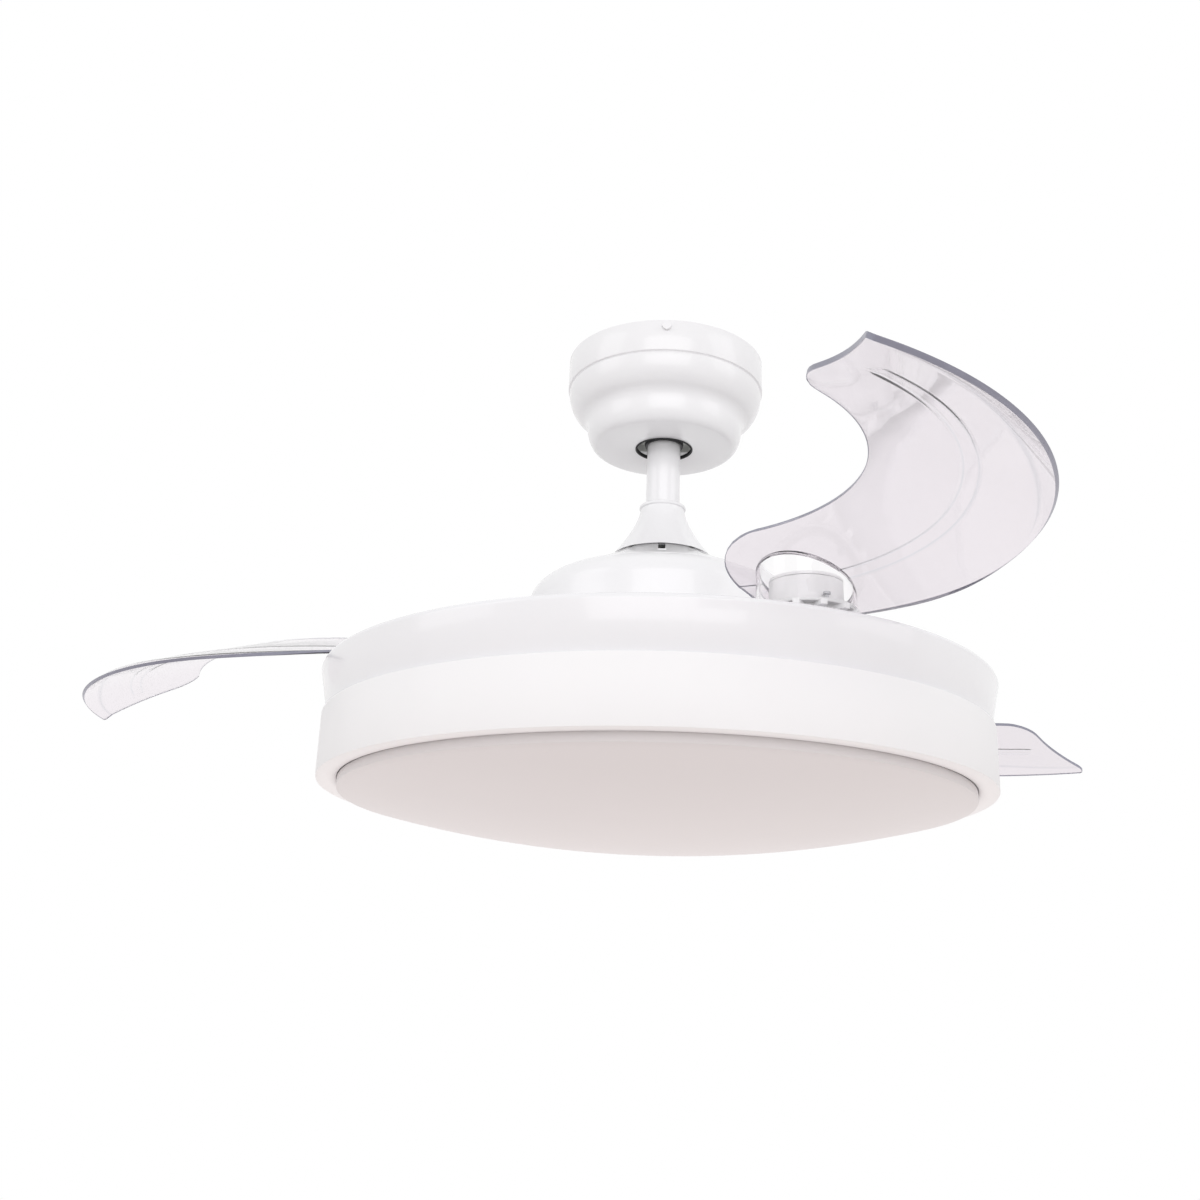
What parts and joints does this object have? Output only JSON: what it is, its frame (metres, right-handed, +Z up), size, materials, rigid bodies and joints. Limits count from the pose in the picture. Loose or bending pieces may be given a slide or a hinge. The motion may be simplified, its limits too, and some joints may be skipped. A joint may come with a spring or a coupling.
{
  "type": "retractable blade ceiling fan",
  "caption": "Ceiling fan on a short downrod, with clear curved blades that swing out over a round lamp drum and fold back onto it.",
  "frame": {"origin": "the ceiling plane on the fan's axis, in the middle of the ceiling bracket's upper face", "axes": "+Z up into the ceiling, -Y towards the viewer of the picture, +X to the viewer's right; the blades are swung out"},
  "size_m": [0.939, 0.9161, 0.396],
  "materials": {
    "gloss_white_paint": "gloss",
    "gloss_white_plastic": "gloss",
    "matt_white_plastic": "matt",
    "white_plastic": "satin",
    "clear_acrylic": "clear gloss",
    "opal_acrylic": "satin opal",
    "black_rubber": "matt",
    "black_plastic": "satin",
    "steel": "plain",
    "zinc_plate": "zinc plated",
    "stator_steel": "stacked sheet",
    "magnet": "plain",
    "copper_wire": "lacquered wire",
    "led_board": "white solder mask",
    "aluminium_sheet": "plain",
    "cast_aluminium": "turned"
  },
  "bodies": {
    "ceiling": {"ceiling_bracket": "zinc_plate", "canopy": "gloss_white_paint", "canopy_screw_1": "gloss_white_paint", "canopy_screw_2": "gloss_white_paint", "canopy_screw_3": "gloss_white_paint", "receiver": "white_plastic"},
    "liner": {"ball_liner": "black_rubber"},
    "hanging": {"hanger_ball": "black_plastic", "ball_pin": "steel", "downrod": "gloss_white_paint", "coupling_collar": "zinc_plate", "coupling_cover": "gloss_white_paint", "clevis_pin": "steel", "pin_clip": "steel", "set_screw_1": "steel", "set_screw_2": "steel", "motor_shaft": "steel", "shaft_nut": "zinc_plate", "stator_core": "stator_steel", "stator_winding": "copper_wire", "upper_housing": "gloss_white_plastic", "lower_ring": "matt_white_plastic", "light_tray": "aluminium_sheet", "led_board": "led_board", "led_driver": "white_plastic"},
    "diffuser": {"diffuser": "opal_acrylic"},
    "rotor": {"rotor_shell_upper": "cast_aluminium", "rotor_shell_lower": "cast_aluminium", "magnet_ring": "magnet", "bearing_upper": "steel", "bearing_lower": "steel", "motor_cover": "gloss_white_paint", "cover_screw_1": "steel", "cover_screw_2": "steel", "cover_screw_3": "steel", "blade_carrier": "white_plastic", "pivot_bolt_1": "steel", "pivot_bolt_2": "steel", "pivot_bolt_3": "steel", "fold_spring_1": "steel", "fold_spring_2": "steel", "fold_spring_3": "steel"},
    "toothed_ring": {"sync_ring": "white_plastic"},
    "blade_unit_1": {"blade_1": "clear_acrylic", "pivot_hub_1": "white_plastic", "pivot_cap_1": "white_plastic", "blade_screw_1_1": "steel", "blade_screw_1_2": "steel"},
    "blade_unit_2": {"blade_2": "clear_acrylic", "pivot_hub_2": "white_plastic", "pivot_cap_2": "white_plastic", "blade_screw_2_1": "steel", "blade_screw_2_2": "steel"},
    "blade_unit_3": {"blade_3": "clear_acrylic", "pivot_hub_3": "white_plastic", "pivot_cap_3": "white_plastic", "blade_screw_3_1": "steel", "blade_screw_3_2": "steel"}
  },
  "joints": [
    {"name": "swing_x", "type": "hinge", "parent": "ceiling", "child": "liner", "pos_m": [0, 0, -0.048], "axis": [1, 0, 0], "range_deg": [-11, 11]},
    {"name": "swing_y", "type": "hinge", "parent": "liner", "child": "hanging", "pos_m": [0, 0, -0.048], "axis": [0, 1, 0], "range_deg": [-11, 11]},
    {"name": "fan_spin", "type": "hinge", "parent": "hanging", "child": "rotor", "pos_m": [0, 0, -0.2417], "axis": [0, 0, 1], "continuous": true},
    {"name": "blade_1_fold", "type": "hinge", "parent": "rotor", "child": "blade_unit_1", "pos_m": [0.09413, -0.17929, -0.27], "axis": [0, 0, -1], "range_deg": [0, 111]},
    {"name": "blade_2_fold", "type": "hinge", "parent": "rotor", "child": "blade_unit_2", "pos_m": [0.10821, 0.17117, -0.27], "axis": [0, 0, -1], "range_deg": [0, 111]},
    {"name": "blade_3_fold", "type": "hinge", "parent": "rotor", "child": "blade_unit_3", "pos_m": [-0.20234, 0.00813, -0.27], "axis": [0, 0, -1], "range_deg": [0, 111]},
    {"name": "toothed_ring_turn", "type": "hinge", "parent": "rotor", "child": "toothed_ring", "pos_m": [0, 0, -0.27], "axis": [0, 0, 1], "range_deg": [0, 19.4]},
    {"name": "diffuser_twist", "type": "hinge", "parent": "hanging", "child": "diffuser", "pos_m": [0, 0, -0.36], "axis": [0, 0, 1], "range_deg": [0, 20]}
  ],
  "couplings": [
    {"joint": "blade_2_fold", "follows": "blade_1_fold", "ratio": 1},
    {"joint": "blade_3_fold", "follows": "blade_1_fold", "ratio": 1},
    {"joint": "toothed_ring_turn", "follows": "blade_1_fold", "ratio": 0.17391}
  ]
}
